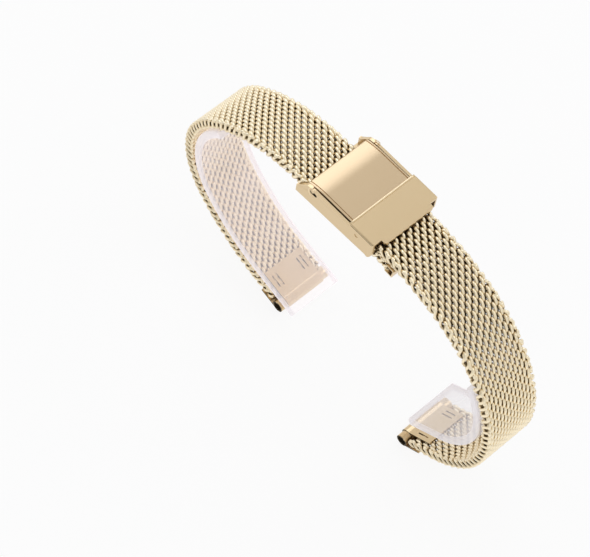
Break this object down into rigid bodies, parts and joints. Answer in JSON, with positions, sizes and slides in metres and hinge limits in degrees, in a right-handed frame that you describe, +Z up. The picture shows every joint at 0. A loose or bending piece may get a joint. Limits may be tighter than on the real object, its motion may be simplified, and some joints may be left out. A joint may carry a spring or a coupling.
{
  "type": "mesh watch band",
  "caption": "Milanese mesh band in two woven straps: a sliding lever clasp, a hook on a catch bar, tube lug ends and clear lining strips.",
  "frame": {"origin": "centre of the clasp's width, halfway between the left and right ends of the band, on the surface that the two lug tubes stand on", "axes": "+X from the long strap's side to the short strap's side, +Y across the band from its near edge to its far edge, +Z up to the clasp"},
  "size_m": [0.0666, 0.0126, 0.0422],
  "materials": {
    "steel_mesh": "champagne gold plated steel wire, bright",
    "polished_steel": "champagne gold plated steel sheet, fine brushed",
    "clear_strip": "clear soft plastic, smooth"
  },
  "bodies": {
    "clasp": {"clasp_box": "polished_steel", "catch_bar": "polished_steel"},
    "lever": {"lock_lever": "polished_steel", "lever_pin": "polished_steel"},
    "long_in_clasp": {"long_strap_in_clasp": "steel_mesh"},
    "tail": {"long_strap_tail": "steel_mesh", "tail_cap": "polished_steel"},
    "long_01": {"long_strap_01": "steel_mesh"},
    "long_02": {"long_strap_02": "steel_mesh"},
    "long_03": {"long_strap_03": "steel_mesh", "long_strip_01": "clear_strip"},
    "long_04": {"long_strap_04": "steel_mesh", "long_strip_02": "clear_strip"},
    "long_05": {"long_strap_05": "steel_mesh", "long_strip_03": "clear_strip"},
    "long_06": {"long_strap_06": "steel_mesh", "long_strip_04": "clear_strip"},
    "long_07": {"long_strap_07": "steel_mesh", "long_strip_05": "clear_strip"},
    "long_08": {"long_strap_08": "steel_mesh", "long_strip_06": "clear_strip"},
    "long_lug": {"long_lug_strap": "steel_mesh", "long_lug_sleeve": "polished_steel", "long_strip_07": "clear_strip"},
    "short_01": {"short_strap_hook": "polished_steel", "short_strap_01": "steel_mesh"},
    "short_02": {"short_strap_02": "steel_mesh"},
    "short_03": {"short_strap_03": "steel_mesh"},
    "short_04": {"short_strap_04": "steel_mesh", "short_strip_01": "clear_strip"},
    "short_05": {"short_strap_05": "steel_mesh", "short_strip_02": "clear_strip"},
    "short_06": {"short_strap_06": "steel_mesh"},
    "short_07": {"short_strap_07": "steel_mesh"},
    "short_08": {"short_strap_08": "steel_mesh"},
    "short_lug": {"short_lug_strap": "steel_mesh", "short_lug_sleeve": "polished_steel"}
  },
  "joints": [
    {"name": "lever_hinge", "type": "hinge", "parent": "clasp", "child": "lever", "pos_m": [-0.00853, 0, 0.03978], "axis": [0, -1, 0], "range_deg": [0, 95]},
    {"name": "long_strap_slide", "type": "slide", "parent": "clasp", "child": "long_in_clasp", "axis": [0.9966, 0, 0.0819], "range_m": [-0.001, 0.001]},
    {"name": "tail_hinge", "type": "hinge", "parent": "long_in_clasp", "child": "tail", "pos_m": [0.00453, -0.0007, 0.03899], "axis": [0, -1, 0], "range_deg": [-10, 1]},
    {"name": "long_knuckle_01", "type": "hinge", "parent": "long_in_clasp", "child": "long_01", "pos_m": [-0.01192, -0.0007, 0.03764], "axis": [0, 1, 0], "range_deg": [-3, 14.5]},
    {"name": "long_knuckle_02", "type": "hinge", "parent": "long_01", "child": "long_02", "pos_m": [-0.02096, -0.0007, 0.03518], "axis": [0, 1, 0], "range_deg": [-3, 25]},
    {"name": "long_knuckle_03", "type": "hinge", "parent": "long_02", "child": "long_03", "pos_m": [-0.02851, -0.0007, 0.02965], "axis": [0, 1, 0], "range_deg": [-3, 26]},
    {"name": "long_knuckle_04", "type": "hinge", "parent": "long_03", "child": "long_04", "pos_m": [-0.03152, -0.0007, 0.0248], "axis": [0, 1, 0], "range_deg": [-3, 27]},
    {"name": "long_knuckle_05", "type": "hinge", "parent": "long_04", "child": "long_05", "pos_m": [-0.03239, -0.0007, 0.01917], "axis": [0, 1, 0], "range_deg": [-3, 27]},
    {"name": "long_knuckle_06", "type": "hinge", "parent": "long_05", "child": "long_06", "pos_m": [-0.03099, -0.0007, 0.01364], "axis": [0, 1, 0], "range_deg": [-3, 27]},
    {"name": "long_knuckle_07", "type": "hinge", "parent": "long_06", "child": "long_07", "pos_m": [-0.02755, -0.0007, 0.0091], "axis": [0, 1, 0], "range_deg": [-3, 22.75]},
    {"name": "long_knuckle_08", "type": "hinge", "parent": "long_07", "child": "long_08", "pos_m": [-0.02127, -0.0007, 0.00486], "axis": [0, 1, 0], "range_deg": [-3, 18.5]},
    {"name": "long_lug_knuckle", "type": "hinge", "parent": "long_08", "child": "long_lug", "pos_m": [-0.01414, -0.0007, 0.00233], "axis": [0, 1, 0], "range_deg": [-3, 11.25]},
    {"name": "hook_hinge", "type": "hinge", "parent": "clasp", "child": "short_01", "pos_m": [0.00059, 0, 0.04054], "axis": [0, -1, 0], "range_deg": [-1, 8]},
    {"name": "short_knuckle_02", "type": "hinge", "parent": "short_01", "child": "short_02", "pos_m": [0.01096, -0.0007, 0.04069], "axis": [0, -1, 0], "range_deg": [-3, 16]},
    {"name": "short_knuckle_03", "type": "hinge", "parent": "short_02", "child": "short_03", "pos_m": [0.01747, -0.0007, 0.03915], "axis": [0, -1, 0], "range_deg": [-3, 20.25]},
    {"name": "short_knuckle_04", "type": "hinge", "parent": "short_03", "child": "short_04", "pos_m": [0.02441, -0.0007, 0.03522], "axis": [0, -1, 0], "range_deg": [-3, 24.5]},
    {"name": "short_knuckle_05", "type": "hinge", "parent": "short_04", "child": "short_05", "pos_m": [0.02953, -0.0007, 0.02911], "axis": [0, -1, 0], "range_deg": [-3, 24.5]},
    {"name": "short_knuckle_06", "type": "hinge", "parent": "short_05", "child": "short_06", "pos_m": [0.03218, -0.0007, 0.02159], "axis": [0, -1, 0], "range_deg": [-3, 24.58]},
    {"name": "short_knuckle_07", "type": "hinge", "parent": "short_06", "child": "short_07", "pos_m": [0.03206, -0.0007, 0.01528], "axis": [0, -1, 0], "range_deg": [-3, 24.67]},
    {"name": "short_knuckle_08", "type": "hinge", "parent": "short_07", "child": "short_08", "pos_m": [0.02971, -0.0007, 0.00942], "axis": [0, -1, 0], "range_deg": [-3, 24.67]},
    {"name": "short_lug_knuckle", "type": "hinge", "parent": "short_08", "child": "short_lug", "pos_m": [0.02545, -0.0007, 0.00476], "axis": [0, -1, 0], "range_deg": [-3, 14.33]}
  ]
}
